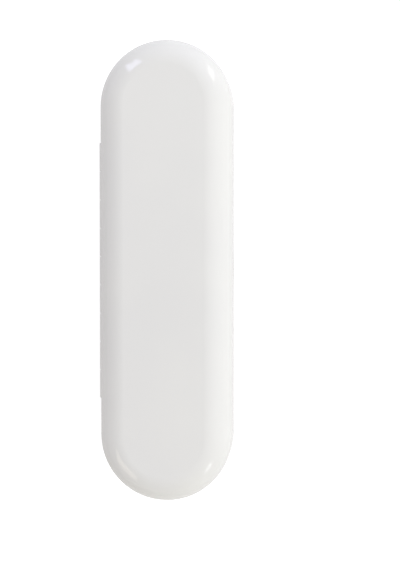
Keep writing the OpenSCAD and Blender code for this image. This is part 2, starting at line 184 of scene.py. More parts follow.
REAR_LUGS = (-75.44, 75.44)

# The button in the front wall
BUTTON_Z = (BUTTON_LOW[2] + BUTTON_HIGH[2]) / 2
BUTTON_PLAY = 0.25
BUTTON_LENGTH = 12.0
BUTTON_WIDTH = 5.5
BUTTON_FLANGE = 0.9
FRONT_GAP = 0.5
FLANGE_X = INNER - FRONT_GAP
FLANGE = 1.2
DISH = 30.0
DISH_DEPTH = 0.5
STEM = 1.5

# The soft bands, the pegs and the spring
GRIP_THICKNESS = 1.4
GRIP_OUTER = HANDLE + SEAT_DEPTH - SEAT_PLAY
GRIP_END_ROUND = 0.3
GRIP_STEPS = 420
RIB = 0.4
RIB_HALF_WIDTH = 0.5
RIB_ANGLES = range(-60, 61, 20)
PEG_DROP = 3
PEG_Z = SEAM_Z - PEG_DROP
PEG_PLAY = 0.02
PEG = 1.8
PEG_END = PEG_HIGH[1]
PEG_FLANGE = 2.5
PEG_FLANGE_THICKNESS = 1.2
SPIGOT = 1.2
COIL = 2.0
WIRE = 0.2
TURNS = 5
TURN_STEPS = 48
WIRE_SIDES = 16

# The bosses that the latch's housing and the lid's keeper are screwed to: the screws' places along X
# and to both sides of the middle, and the height of the bosses above the outer floor
BOSS = 2.6
BOSS_FILLET = 0.6
BOSS_ROUND = 0.2
SCREW_BORE = 0.95
SCREW_DEPTH = 4.9
HOUSING_SCREWS = (11.5, 9.0)
HOUSING_SEAT = node_box("latch_housing")[0][2]
KEEPER_SCREWS = (18.5, 7.0)
KEEPER_SEAT = HEIGHT - node_box("keeper")[1][2]

# The vent holes under the brush heads
VENT = 1.0
VENT_FLARE = 0.15
VENT_PITCH = 5.0
VENT_ROWS = 7

# The camera, placed so that the outline falls where the photograph has it
CAMERA_AT = (68.6, 9.0, 600.0)
CAMERA_AIM = (16.2, -7.15, SEAM_Z)
FOCAL_PIXELS = 1148.2
IMAGE_HEIGHT = 570
SENSOR = 36.0

# The softboxes round the case: tilt from straight above and azimuth from +X in degrees, width and
# height in metres, brightness and tone. They stand on the +X side and at both ends.
LAMP_DISTANCE = 1.4
SOFTBOXES = {
    "middle_front_left": (60, -45, 0.95, 0.72, 1.3, "FFFFF3"),
    "middle_front": (60, 0, 0.95, 0.72, 1.29, "F7F8FF"),
    "middle_front_right": (60, 45, 0.95, 0.72, 1.47, "F7FCFF"),
    "middle_right": (60, 90, 0.95, 0.72, 0.66, "ECEFFF"),
    "low_left": (84, -90, 1.05, 0.5, 0.47, "FFFEF0"),
    "low_front_left": (84, -45, 1.05, 0.5, 0.5, "FFFBF8"),
    "low_front": (84, 0, 1.05, 0.5, 0.4, "FFFFFF"),
    "low_front_right": (84, 45, 1.05, 0.5, 0.56, "FFFFFF"),
    "low_right": (84, 90, 1.05, 0.5, 0.84, "FFFFFF"),
}
# The small ones, which alone are mirrored and give the highlights on the four rounded corners. The
# highlight at the back right is two blocks and takes two of them. Their last number is a turn about
# the line to the case, in degrees.
SPOTS = {
    "spot_back_right_tall": (58, 130.2, 0.1, 0.84, 4.0, "DEE0FF", 2),
    "spot_back_right_low": (54, 123.6, 0.15, 0.64, 3.7, "DEE0FF", 2),
    "spot_front_right": (76, 44.8, 0.27, 0.62, 2.4, "FFFBFB", 17),
    "spot_back_left": (57.6, -136.2, 0.56, 0.5, 1.65, "FFF2E0", 17),
    "spot_front_left": (65.3, -47.9, 0.29, 0.3, 2.6, "F8FAFF", 25),
}
SURROUNDINGS = 0.56
FLOOR_GLOW = 0.58
# What mirrors see of the floor's glow, on the side at -X and on the brighter side at +X, and how far
# from the middle, in metres, it stops changing. This grade is painted light: a painted reflection of the
# floor, brighter towards +X where the lamps stand and darker at -X. The floor lies a little under the
# case.
MIRRORED_GLOW = (0.1, 0.38)
GLOW_REACH = 0.1
FLOOR_DROP = 0.05


# ---- Materials ----

def colour(code):
    """The linear colour of an sRGB hex code, with an alpha of 1."""
    parts = [int(code[i:i + 2], 16) / 255 for i in (0, 2, 4)]
    return [c / 12.92 if c <= 0.04045 else ((c + 0.055) / 1.055) ** 2.4 for c in parts] + [1.0]


def add(tree, kind, settings=None, links=None):
    """A node of a kind, with its sockets and properties set and its inputs linked."""
    node = tree.nodes.new(kind)
    for name, value in (settings or {}).items():
        if isinstance(name, int) or name in node.inputs:
            node.inputs[name].default_value = value
        else:
            setattr(node, name, value)
    for name, source in (links or {}).items():
        tree.links.new(source, node.inputs[name])
    return node


def material(name, settings):
    """An empty material with a Principled shader, its tree and the object's own coordinates."""
    made = bpy.data.materials.new(name)
    made.use_nodes = True
    tree = made.node_tree
    tree.nodes.clear()
    shader = add(tree, "ShaderNodeBsdfPrincipled", settings)
    add(tree, "ShaderNodeOutputMaterial", links={"Surface": shader.outputs["BSDF"]})
    place = add(tree, "ShaderNodeTexCoord").outputs["Object"]
    return made, tree, shader, place


def noise(tree, place, size_mm, detail=2.0, roughness=0.5):
    """Cloudy noise whose grains are about size_mm across."""
    return add(tree, "ShaderNodeTexNoise", {"Scale": 1 / (size_mm * MM), "Detail": detail,
                                            "Roughness": roughness}, {"Vector": place})


def between(tree, value, low, high):
    """A value from 0 to 1 stretched to the range low to high."""
    stretch = {"To Min": low, "To Max": high}
    return add(tree, "ShaderNodeMapRange", stretch, {"Value": value}).outputs["Result"]


def tint(tree, value, first, second):
    """A blend of two sRGB colours by a value from 0 to 1."""
    ramp = add(tree, "ShaderNodeValToRGB", links={"Fac": value})
    ramp.color_ramp.elements[0].position = 0.35
    ramp.color_ramp.elements[1].position = 0.65
    ramp.color_ramp.elements[0].color = colour(first)
    ramp.color_ramp.elements[1].color = colour(second)
    return ramp.outputs["Color"]


def bump(tree, height, depth_mm):
    """A bump whose full height is depth_mm."""
    return add(tree, "ShaderNodeBump", {"Strength": 1.0, "Distance": depth_mm * MM},
               {"Height": height}).outputs["Normal"]


def polished_abs():
    """ABS moulded in a polished tool: a hard white gloss with the faint long waves of a moulded
    wall, and a haze of fine handling marks that changes the gloss a little from place to place."""
    made, tree, shader, place = material("polished_white_abs", {"IOR": 1.53})
    tree.links.new(tint(tree, noise(tree, place, 60).outputs["Fac"], "E9E9E8", "ECECEA"),
                   shader.inputs["Base Color"])
    haze = noise(tree, place, 9, 3.0).outputs["Fac"]
    tree.links.new(between(tree, haze, 0.05, 0.09), shader.inputs["Roughness"])
    waves = noise(tree, place, 14, 1.0).outputs["Fac"]
    tree.links.new(bump(tree, waves, 0.008), shader.inputs["Normal"])
    return made


def satin_tray():
    """High-impact polystyrene moulded against a spark-eroded tool: an even satin with a fine
    pebbled grain. The real grain is 0.1 mm and is drawn at 0.4 mm so that it shows."""
    made, tree, shader, place = material("spark_grained_polystyrene", {"IOR": 1.57})
    tree.links.new(tint(tree, noise(tree, place, 45).outputs["Fac"], "DDDEDE", "E1E1E0"),
                   shader.inputs["Base Color"])
    grain = noise(tree, place, 0.4, 3.0, 0.6).outputs["Fac"]
    tree.links.new(between(tree, grain, 0.42, 0.56), shader.inputs["Roughness"])
    tree.links.new(bump(tree, grain, 0.03), shader.inputs["Normal"])
    return made


def soft_elastomer():
    """Thermoplastic elastomer moulded in a blasted tool: a dull, slightly dusty rubber skin."""
    made, tree, shader, place = material("moulded_grey_elastomer",
                                         {"IOR": 1.5, "Sheen Weight": 0.25, "Sheen Roughness": 0.5})
    tree.links.new(tint(tree, noise(tree, place, 6, 3.0).outputs["Fac"], "B4B7B9", "BDBFC0"),
                   shader.inputs["Base Color"])
    grain = noise(tree, place, 0.5, 2.0).outputs["Fac"]
    tree.links.new(between(tree, grain, 0.6, 0.75), shader.inputs["Roughness"])
    tree.links.new(bump(tree, grain, 0.02), shader.inputs["Normal"])
    return made


def natural_acetal():
    """Acetal moulded without pigment: a waxy off-white that slides well, dull on its rubbed faces."""
    made, tree, shader, place = material("natural_acetal",
                                         {"IOR": 1.48, "Subsurface Weight": 0.15,
                                          "Subsurface Radius": (0.001, 0.0009, 0.0008),
                                          "Subsurface Scale": 1.0})
    tree.links.new(tint(tree, noise(tree, place, 10).outputs["Fac"], "E2E1DC", "E8E7E3"),
                   shader.inputs["Base Color"])
    rubbed = noise(tree, place, 3, 3.0).outputs["Fac"]
    tree.links.new(between(tree, rubbed, 0.28, 0.42), shader.inputs["Roughness"])
    tree.links.new(bump(tree, rubbed, 0.01), shader.inputs["Normal"])
    return made


def steel(name, mark_mm, dark, light):
    """Bright steel with fine marks, whose size along X, Y and Z is mark_mm. They spread its
    highlights across their length."""
    made, tree, shader, place = material(name, {"Metallic": 1.0})
    lines = add(tree, "ShaderNodeMapping", {"Scale": [1 / (size * MM) for size in mark_mm]},
                {"Vector": place})
    marks = add(tree, "ShaderNodeTexNoise", {"Scale": 1.0, "Detail": 2.0},
                {"Vector": lines.outputs["Vector"]}).outputs["Fac"]
    tree.links.new(tint(tree, marks, dark, light), shader.inputs["Base Color"])
    tree.links.new(between(tree, marks, 0.2, 0.34), shader.inputs["Roughness"])
    tree.links.new(bump(tree, marks, 0.004), shader.inputs["Normal"])
    return made


SHELL_PLASTIC = polished_abs()
TRAY_PLASTIC = satin_tray()
RUBBER = soft_elastomer()
LATCH_PLASTIC = natural_acetal()
# Drawn wire has its marks along it: the pin's run along Y, and the spring's lie round its coils, which
# are nearly square to X. Plating leaves only a fine even haze. Real marks are finer than these, which
# are as coarse as they must be to show.
PIN_STEEL = steel("drawn_stainless_wire", (0.3, 9, 0.3), "B8B9BB", "C9CACC")
SCREW_STEEL = steel("nickel_plated_screw_steel", (0.4, 0.4, 0.4), "BAB7B1", "CBC8C2")
SPRING_STEEL = steel("drawn_spring_wire", (0.2, 6, 6), "A9ABAD", "C0C2C4")


# ---- Meshes ----

def grid(points, wrap=False):
    """The points of a rows x columns grid with quads between neighbours. wrap joins the last row
    to the first."""
    rows, columns = points.shape[:2]
    index = np.arange(rows * columns).reshape(rows, columns)
    if wrap:
        index = np.vstack([index, index[:1]])
    corners = [index[:-1, :-1], index[1:, :-1], index[1:, 1:], index[:-1, 1:]]
    return points.reshape(-1, 3), np.stack(corners, axis=-1).reshape(-1, 4)


def closed_mesh(name, patches, crisp=32):
    """One welded mesh from patches of points and faces, with its faces turned outwards. It is
    shaded smooth, apart from edges that turn by more than crisp degrees."""
    starts = np.cumsum([0] + [len(points) for points, _ in patches])
    points = np.concatenate([points for points, _ in patches]) * MM
    faces = [face for (_, quads), start in zip(patches, starts) for face in (quads + start).tolist()]
    mesh = bpy.data.meshes.new(name)
    mesh.from_pydata(points.tolist(), [], faces)
    work = bmesh.new()
    work.from_mesh(mesh)
    bmesh.ops.remove_doubles(work, verts=work.verts, dist=0.001 * MM)
    bmesh.ops.recalc_face_normals(work, faces=work.faces)
    work.to_mesh(mesh)
    work.free()
    shade(mesh, crisp)
    return mesh


def shade(mesh, crisp):
    """Smooth shading with hard edges where the surface turns by more than crisp degrees."""
    mesh.shade_smooth()
    mesh.set_sharp_from_angle(angle=math.radians(crisp))


def piece(name, mesh, finish, body, replaced):
    """A mesh as a piece of the object: its material, the body it rides on and the CAD nodes that it
    stands for."""
    made = bpy.data.objects.new(name, mesh)
    bpy.context.scene.collection.objects.link(made)
    mesh.materials.clear()
    mesh.materials.append(finish)
    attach(made, body)
    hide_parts(*replaced)
    return made


def combined(mesh, patches, operation, crisp=32):
    """A mesh with closed forms added to it or taken away from it."""
    body = bpy.data.objects.new("body", mesh)
    tool = bpy.data.objects.new("tool", closed_mesh("tool", patches))
    for work in (body, tool):
        bpy.context.scene.collection.objects.link(work)
    change = body.modifiers.new("change", "BOOLEAN")
    change.operation = operation
    change.solver = "MANIFOLD"
    change.object = tool
    graph = bpy.context.evaluated_depsgraph_get()
    result = bpy.data.meshes.new_from_object(body.evaluated_get(graph))
    result.name = mesh.name
    for work in (body, tool):
        old = work.data
        bpy.data.objects.remove(work)
        bpy.data.meshes.remove(old)
    shade(result, crisp)
    return result


# ---- Forms ----

def arc(centre, radius, start, end, steps):
    """Points on a circle in a plane, from one angle to another in degrees."""
    angle = np.radians(np.linspace(start, end, steps + 1))
    return np.column_stack([centre[0] + radius * np.cos(angle), centre[1] + radius * np.sin(angle)])


def turned(profile, centre, axis, steps=48):
    """A surface of revolution: every point of the profile, given as distance from the axis and
    place along it, goes once round the axis, which is 0, 1 or 2 for X, Y or Z."""
    angle = np.linspace(0, 2 * np.pi, steps, endpoint=False)[:, None]
    radius, along = np.asarray(profile, float).T
    across = [radius * np.cos(angle), radius * np.sin(angle)]
    points = np.empty((steps, len(radius), 3))
    points[..., axis] = centre[axis] + along
    points[..., (axis + 1) % 3] = centre[(axis + 1) % 3] + across[0]
    points[..., (axis + 2) % 3] = centre[(axis + 2) % 3] + across[1]
    return grid(points, wrap=True)


def oblong(half_length, half_width, inset, steps=24):
    """The outline of a bar with round ends, drawn in by an inset: two half circles about the ends
    of its middle line. Inset by half its width, it is that line."""
    angle = np.linspace(-np.pi / 2, np.pi / 2, steps + 1)
    reach = half_width - inset
    end = half_length - half_width
    right = np.column_stack([end + reach * np.cos(angle), reach * np.sin(angle)])
    return np.vstack([right, -right])


def stacked(half_length, half_width, levels, z):
    """A form built of oblong outlines along X: each level is an inset from the outline and a place
    along X. The outline lies along Y, about the height z."""
    rings = [oblong(half_length, half_width, inset) for inset, _ in levels]
    points = [np.column_stack([np.full(len(ring), x), ring[:, 0], z + ring[:, 1]])
              for ring, (_, x) in zip(rings, levels)]
    return grid(np.stack(points, axis=1), wrap=True)


def strip(start, end, steps):
    """Points along a straight line in a plane, without its last one."""
    share = np.linspace(0, 1, steps, endpoint=False)[:, None]
    return np.asarray(start) + share * (np.asarray(end) - np.asarray(start))


# ---- Shells ----

def inner_side(kind):
    """The inside of a shell's wall up to its rim, as radius and height: a plain wall, one with the
    base's lip, one with the lid's rebate for that lip, or one with the rail behind the hinge. Each
    has seven points past the wall, so that sections of two kinds can be joined."""
    foot = RIM_Z - RAIL_HEIGHT
    depth = RAIL if kind == "rail" else 0
    top = LEDGE_Z if kind == "rebate" else RIM_Z
    wall = [(INNER, foot - 1), (INNER, foot), (INNER - depth, foot + RAIL), (INNER - depth, top)]
    outer = INNER + LIP
    small, big = 0.07, 0.25
    if kind == "lip":
        crown = [(INNER, LIP_TOP - big), (INNER + small, LIP_TOP - small), (INNER + big, LIP_TOP),
                 (outer - big, LIP_TOP), (outer - small, LIP_TOP - small), (outer, LIP_TOP - big),
                 (outer, RIM_Z)]
    elif kind == "rebate":
        crown = [(INNER + small, LEDGE_Z), (REBATE - small, LEDGE_Z), (REBATE, LEDGE_Z),
                 (REBATE, LEDGE_Z + small), (REBATE, RIM_Z - big / 2),
                 (REBATE + small / 2, RIM_Z - small / 2), (REBATE + big / 2, RIM_Z)]
    else:
        rail_gap, count = 0.1, 7
        end = INNER - rail_gap if kind == "rail" else outer
        crown = [(INNER - depth + (end - INNER + depth) * k / count, RIM_Z)
                 for k in range(1, count + 1)]
    return np.array(wall + crown)


def outer_side(kind, centre):
    """The outside corner of a rim, as radius and height: a small rounding, a knuckle that stands
    out round the pin's axis, or a hollow round that axis. Each is an arc from the rim's plane to
    the side wall, about a centre that many millimetres from the shell's long axis."""
    if kind == "round":
        return arc((HALF_WIDTH - RIM_ROUND, RIM_Z - RIM_ROUND), RIM_ROUND, 90, 0, SIDE_STEPS)
    radius = {"knuckle": BARREL, "knuckle_end": BARREL - KNUCKLE_ROUND, "pocket": POCKET,
              "groove": GROOVE}[kind]
    start = 180 + math.degrees(math.asin((SEAM_Z - RIM_Z) / radius))
    end = math.degrees(math.acos(max(-1, (HALF_WIDTH - centre) / radius)))
    return arc((centre, SEAM_Z), radius, start, -end if kind.startswith("knuckle") else 360 - end,
               SIDE_STEPS)


def shell_section(inside, outside, centre=HINGE_X):
    """A shell's section from the middle of its inner floor, over the rim, to the middle of its
    outer floor, as radius and height with the floor down."""
    rise = inner_side(inside)
    corner = outer_side(outside, centre)
    lowest = np.array([HALF_WIDTH, EDGE + SIDE_BORDER])
    return np.vstack([
        [(0, WALL), (FLAT - FLAT_BORDER, WALL)],
        arc((FLAT, EDGE), EDGE - WALL, -90, 0, ARC_STEPS // 2),
        rise,
        strip(rise[-1], corner[0], 3)[1:],
        corner,
        strip(corner[-1], lowest, 3)[1:],
        [lowest],
        arc((FLAT, EDGE), EDGE, 0, -90, ARC_STEPS),
        [(FLAT - FLAT_BORDER, 0), (0, 0)],
    ])


def knuckle_y(number):
    """The middle of a knuckle along the hinge."""
    return (number - (KNUCKLES - 1) / 2) * PITCH


def hinge_stations(first):
    """The sections along the hinge side from +Y to -Y, each as its place along Y with its inside
    and outside. This shell has every second knuckle from the first; the others are pockets."""
    half = (PITCH - KNUCKLE_GAP) / 2
    steps = []
    for number in reversed(range(KNUCKLES)):
        high, low = knuckle_y(number) + half, knuckle_y(number) - half
        if number % 2 == first:
            steps += [(high, "knuckle_end"), (high - KNUCKLE_ROUND, "knuckle"),
                      (low + KNUCKLE_ROUND, "knuckle"), (low, "knuckle_end")]
        else:
            steps += [(high + KNUCKLE_GAP, "pocket"), (low - KNUCKLE_GAP, "pocket")]
    steps = [(RAIL_HALF, "groove"), (steps[0][0], "groove"), *steps, (steps[-1][0], "round"),
             (-RAIL_HALF, "round")]
    return [(STRAIGHT, "plain", "groove"), (RAIL_HALF, "plain", "groove"),
            *[(y, "rail", outside) for y, outside in steps],
            (-RAIL_HALF, "plain", "round"), (-STRAIGHT, "plain", "round")]


def shell_points(first, front):
    """A whole shell: its section carried once round the pill outline, along the front, round the
    end at +Y, back along the hinge and round the end at -Y. The section changes on the way, in
    steps where a knuckle, a pocket or the front's lip ends. A point at radius r of the section
    stands r from the middle line."""
    side = hinge_stations(first)
    turn = np.linspace(0, 180, END_STEPS + 1)[1:-1]
    lip_end = math.degrees(math.acos(LIP_END_X / (INNER + LIP / 2)))
    margin = 0.03
    reach = HALF_WIDTH + math.hypot(GROOVE, RIM_Z - SEAM_Z) - margin
    groove_end = 180 - math.degrees(math.acos(HINGE_X / reach))
    round_end = [(angle, front) for angle in turn if angle < lip_end]
    round_end += [(lip_end, front), (lip_end, "plain")]
    round_end += [(angle, "plain") for angle in sorted([*turn, groove_end]) if angle > lip_end]
    stations = [(y, 0, front, "round") for y, _, _ in reversed(side)]
    stations += [(STRAIGHT, angle, inside, "groove" if angle >= groove_end else "round")
                 for angle, inside in round_end]
    stations += [(y, 180, inside, outside) for y, inside, outside in side]
    stations += [(-STRAIGHT, 360 - angle, inside, "round") for angle, inside in reversed(round_end)]
    rows = []
    for y, angle, inside, outside in stations:
        across, along = math.cos(math.radians(angle)), math.sin(math.radians(angle))
        centre = -HINGE_X / across if outside == "groove" else HINGE_X
        radius, height = shell_section(inside, outside, centre).T
        rows.append(np.column_stack([radius * across, y + radius * along, height]))
    return np.array(rows)


def turned_over(patches):
    """The same forms with the floor up, mirrored about the seam."""
    return [(points * (1, 1, -1) + (0, 0, HEIGHT), faces) for points, faces in patches]


def bore(radius, start, end, centre, axis):
    """A round hole's form from start to end along an axis."""
    return turned([(0, start), (radius, start), (radius, end), (0, end)], centre, axis)


def posts(screws, seat):
    """The forms of a shell's two bosses: round posts whose foot is a quarter circle on the floor and
    whose top edge is a small one."""
    sunk = 0.05
    foot = WALL - sunk
    profile = np.vstack([
        [(0, WALL / 2), (BOSS + BOSS_FILLET, WALL / 2)],
        arc((BOSS + BOSS_FILLET, foot + BOSS_FILLET), BOSS_FILLET, 270, 180, 6),
        arc((BOSS - BOSS_ROUND, seat - BOSS_ROUND), BOSS_ROUND, 0, 90, 4),
        [(0, seat)],
    ])
    return [turned(profile, (screws[0], side * screws[1], 0), 2) for side in (-1, 1)]


def pilots(screws, seat):
    """The forms of the screws' bores in the two bosses."""
    return [bore(SCREW_BORE, seat - SCREW_DEPTH, seat + CUT, (screws[0], side * screws[1], 0), 2)
            for side in (-1, 1)]


def vents(columns, low, high, flare):
    """The forms of the vent holes under both brush heads, which widen a little below."""
    forms = []
    for x in columns:
        for middle in (-1, 1):
            for row in range(VENT_ROWS):
                y = middle * (HEAD_START + HEAD_END) / 2 + (row - (VENT_ROWS - 1) / 2) * VENT_PITCH
                forms.append(turned([(0, low), (VENT + flare, low), (VENT + flare, low + CUT),
                                     (VENT, low + CUT + flare), (VENT, high), (0, high)],
                                    (x, y, 0), 2, 24))
    return forms


def base_shell():
    """The lower half, with its lip, its five knuckles, the housing's bosses, the button's opening
    and the vents. The opening is a stack of oblong outlines that widens a little at the outside."""
    mesh = closed_mesh("base_shell", [grid(shell_points(0, "lip"), wrap=True)])
    mesh = combined(mesh, posts(HOUSING_SCREWS, HOUSING_SEAT), "UNION")
    half_length = BUTTON_LENGTH / 2 + BUTTON_PLAY
    half_width = BUTTON_WIDTH / 2 + BUTTON_PLAY
    flare = 0.2
    opening = stacked(half_length, half_width,
                      [(half_width, INNER - CUT), (0, INNER - CUT), (0, HALF_WIDTH - flare),
                       (-flare * 2, HALF_WIDTH + flare), (half_width, HALF_WIDTH + flare)], BUTTON_Z)
    pin = bore(PIN_BORE, -HINGE_HALF, HINGE_HALF, (-HINGE_X, 0, SEAM_Z), 1)
    cuts = [opening, pin, *lugs(LUG_PLAY), *pilots(HOUSING_SCREWS, HOUSING_SEAT),
            *vents((HEAD_X - VENT_PITCH, HEAD_X), -CUT, WALL + CUT, VENT_FLARE)]
    mesh = combined(mesh, cuts, "DIFFERENCE")
    return piece("base_shell_moulding", mesh, SHELL_PLASTIC, "base", ["base_shell"])


def lid_shell():
    """The upper half, with the rebate for the base's lip, its four knuckles and the keeper's
    bosses. It is worked out with its floor down and turned over."""
    mesh = closed_mesh("lid_shell", turned_over([grid(shell_points(1, "rebate"), wrap=True)]))
    mesh = combined(mesh, turned_over(posts(KEEPER_SCREWS, KEEPER_SEAT)), "UNION")
    cuts = [bore(PIN_BORE, -HINGE_HALF, HINGE_HALF, (-HINGE_X, 0, SEAM_Z), 1)]
    cuts += turned_over(lugs(LUG_PLAY) + pilots(KEEPER_SCREWS, KEEPER_SEAT))
    mesh = combined(mesh, cuts, "DIFFERENCE")
    return piece("lid_shell_moulding", mesh, SHELL_PLASTIC, "lid", ["lid_shell"])


def hinge_pin():
    """A straight pin with a rounded edge at both ends, which tapers slightly at the end that is
    pushed in first."""
    edge, bulge, lead, taper = 0.2, 0.06, 1.5, 0.15
    half = PIN_HIGH[1]
    profile = [(0, -half), (PIN - edge, -half), (PIN - bulge, -half + bulge), (PIN, -half + edge),
               (PIN, half - lead), (PIN - taper, half - edge), (PIN - taper - edge, half), (0, half)]
    mesh = closed_mesh("hinge_pin", [turned(profile, (-HINGE_X, 0, SEAM_Z), 1)])
    return piece("ground_pin", mesh, PIN_STEEL, "base", ["hinge_pin"])


# ---- Trays ----

def bent(corners, inset):
    """A closed outline built of arcs, each given as its centre, radius, two angles and steps. An
    arc that turns left shrinks by the inset and one that turns right grows by it, so the whole
    outline moves inwards by the inset."""
    return np.vstack([arc((x, y), radius - inset if end > start else radius + inset, start, end, steps)
                      for x, y, radius, start, end, steps in corners])


def tray_outline(inset):
    """A tray's edge seen from above: a pill with two notches for the hooks at the front and a
    shallow one along the hinge."""
    corners = []
    q, step = NOTCH_ROUND, 6
    for low, high in ((-NOTCH_END, -NOTCH_START), (NOTCH_START, NOTCH_END)):
        corners += [(TRAY_EDGE - q, low - q, q, 0, 90, step), (NOTCH_X + q, low + q, q, 270, 180, step),
                    (NOTCH_X + q, high - q, q, 180, 90, step),
                    (TRAY_EDGE - q, high + q, q, 270, 360, step)]
    e = (TRAY_EDGE + HINGE_NOTCH_X) / 2
    outer, inner = -TRAY_EDGE + e, HINGE_NOTCH_X - e
    corners += [(0, STRAIGHT, TRAY_EDGE, 0, 180, END_STEPS),
                (outer, HINGE_NOTCH + e, e, 180, 270, step), (inner, HINGE_NOTCH - e, e, 90, 0, step),
                (inner, -HINGE_NOTCH + e, e, 0, -90, step), (outer, -HINGE_NOTCH - e, e, 90, 180, step),
                (0, -STRAIGHT, TRAY_EDGE, 180, 360, END_STEPS)]
    return bent(corners, inset)


def recess_end(radius, y, corner, least, way):
    """One end of a recess's profile, as radius and place along Y: a flat disc from the least
    radius out, then a quarter circle to the side. way is 1 where the recess starts."""
    across = np.linspace(0, math.sqrt((radius - corner) ** 2 - least ** 2), 9)
    disc = np.column_stack([np.hypot(across, least), np.full(len(across), y)])
    return np.vstack([disc, arc((radius - corner, y + way * corner), corner, -90 * way, 0, 14)[1:]])


def handle_profile(grow, least):
    """The handle's recess along Y: the handle's width, an easy taper that follows a cosine, and
    the neck. grow adds the tray's wall for its underside."""
    share = np.linspace(0, 1, 25)[1:-1]
    taper = np.column_stack([NECK + (HANDLE - NECK) * (1 + np.cos(np.pi * share)) / 2 + grow,
                             TAPER_START + (TAPER_END - TAPER_START) * share])
    edges = [side * GRIP_Y + end * SEAT_HALF for side in (-1, 1) for end in (-1, 1)]
    return np.vstack([
        recess_end(HANDLE + grow, HANDLE_START - grow, HANDLE_CURVE + grow, least, 1),
        [(HANDLE + grow, y) for y in edges + [TAPER_START]],
        taper,
        [(NECK + grow, TAPER_END)],
        recess_end(NECK + grow, NECK_END + grow, NECK_CURVE + grow, least, -1)[::-1],
    ])


def head_profile(grow, least):
    """A brush head's recess along Y."""
    return np.vstack([
        recess_end(HEAD + grow, HEAD_START - grow, HEAD_BACK_CURVE + grow, least, 1),
        recess_end(HEAD + grow, HEAD_END + grow, HEAD_CURVE + grow, least, -1)[::-1],
    ])


def outwards(profile):
    """The normals of a profile, from its neighbours' direction, turned away from the axis."""
    along = np.gradient(profile, axis=0)
    along /= np.linalg.norm(along, axis=1, keepdims=True)
    return np.column_stack([along[:, 1], -along[:, 0]])


def recess(x, profile, top, fillet, seated=False):
    """A recess and its rounding up to a flat face at the height top. The profile goes round the
    axis at x from one side to the other, at an angle t from straight down, so a point at radius r
    has the height seam - r cos t. It stops where a ball of the fillet's radius touches both the
    recess and the face, at cos t = (seam - top + fillet) / (r + fillet n) with n the normal's share
    across the axis. The ball's arc follows, then a narrow flat border. Returns the patches and
    the border's outer edge."""
    radius, along = profile.T
    normal = outwards(profile)
    side = np.arccos(np.clip((SEAM_Z - top + fillet) / (radius + fillet * normal[:, 0]), -1, 1))
    share = np.linspace(-1, 1, 61)
    rows, seat, wide = np.arange(len(radius)), np.zeros(len(radius)), np.zeros(len(share))
    if seated:
        edges = np.flatnonzero(np.isclose(abs(abs(along) - GRIP_Y), SEAT_HALF)
                               & np.isclose(radius, radius.max()))
        rows = np.sort(np.concatenate([rows, edges]))
        seat = np.cumsum(np.diff(rows, prepend=-1) == 0) % 2 * SEAT_DEPTH
        drop = SEAM_Z - TRAY_TOP + TRAY_WALL - SEAT_PLAY
        limit = math.acos(drop / (HANDLE + SEAT_DEPTH)) / side[edges[0]]
        share = np.sort(np.concatenate([share, [-limit, -limit, limit, limit]]))
        wide = abs(share) < limit - 1e-9
        first = np.flatnonzero(np.isclose(share, -limit))[1]
        last = np.flatnonzero(np.isclose(share, limit))[0]
        wide[first:last + 1] = True
    reach = radius[rows, None] + np.outer(seat, wide)
    turn = side[rows, None] * share
    bowl = np.stack([x + reach * np.sin(turn), along[rows, None] + 0 * turn,
                     SEAM_Z - reach * np.cos(turn)], axis=-1)
    rim, away = [], []
    for way in (1, -1):
        angle = way * side
        rim.append(np.column_stack([x + radius * np.sin(angle), along, SEAM_Z - radius * np.cos(angle)]))
        away.append(np.column_stack([normal[:, 0] * np.sin(angle), normal[:, 1],
                                     -normal[:, 0] * np.cos(angle)]))
    rim, away = (np.vstack([both[0], both[1][-2:0:-1]]) for both in (rim, away))
    if not fillet:
        return [grid(bowl)], rim[:, :2]
    up = np.array([0, 0, 1.0])
    ball = rim + fillet * away
    whole = np.arccos(-away[:, 2])[:, None, None]
    part = np.linspace(0, 1, 8)[None, :, None]
    arcs = ball[:, None] + fillet * (np.sin((1 - part) * whole) * -away[:, None]
                                     + np.sin(part * whole) * up) / np.sin(whole)
    flat = away[:, :2] / np.linalg.norm(away[:, :2], axis=1, keepdims=True)
    border = np.column_stack([ball[:, :2] + PLAIN_BORDER * flat, np.full(len(ball), top)])
    rounding = np.concatenate([arcs, border[:, None]], axis=1)
    return [grid(bowl), grid(rounding, wrap=True)], border[:, :2]


def flat_face(outlines, z):
    """A flat face inside the first outline and outside the others."""
    triangles = tessellate_polygon([[Vector((x, y, 0)) for x, y in outline] for outline in outlines])
    points = np.vstack(outlines)
    return np.column_stack([points, np.full(len(points), z)]), np.array(triangles)


def tray_patches():
    """A tray: its rounded edge, three recesses, and its faces above and below."""
    under = TRAY_TOP - TRAY_WALL
    bend = np.linspace(0, np.pi / 2, 5)
    levels = [(TRAY_ROUND + PLAIN_BORDER, TRAY_TOP)]
    levels += [(TRAY_ROUND * (1 - math.sin(t)), TRAY_TOP - TRAY_ROUND * (1 - math.cos(t))) for t in bend]
    bevel = 0.1
    levels += [(0, under + bevel), (bevel, under)]
    rings = [np.column_stack([tray_outline(inset), np.full(len(tray_outline(inset)), z)])
             for inset, z in levels]
    patches = [grid(np.stack(rings, axis=1), wrap=True)]
    sides = ((TRAY_TOP, RECESS_ROUND, 0, rings[0]), (under, 0, TRAY_WALL, rings[-1]))
    for top, fillet, grow, ring in sides:
        holes = []
        least = SEAM_Z - top + fillet
        for x, profile, seated in ((HANDLE_X, handle_profile(grow, least), not grow),
                                   (HEAD_X, head_profile(grow, least), False),
                                   (HEAD_X, head_profile(grow, least)[::-1] * (1, -1), False)):
            forms, hole = recess(x, profile, top, fillet, seated)
            patches += forms
            holes.append(hole)
        patches.append(flat_face([without_repeats(ring[:, :2]), *holes], top))
    return patches


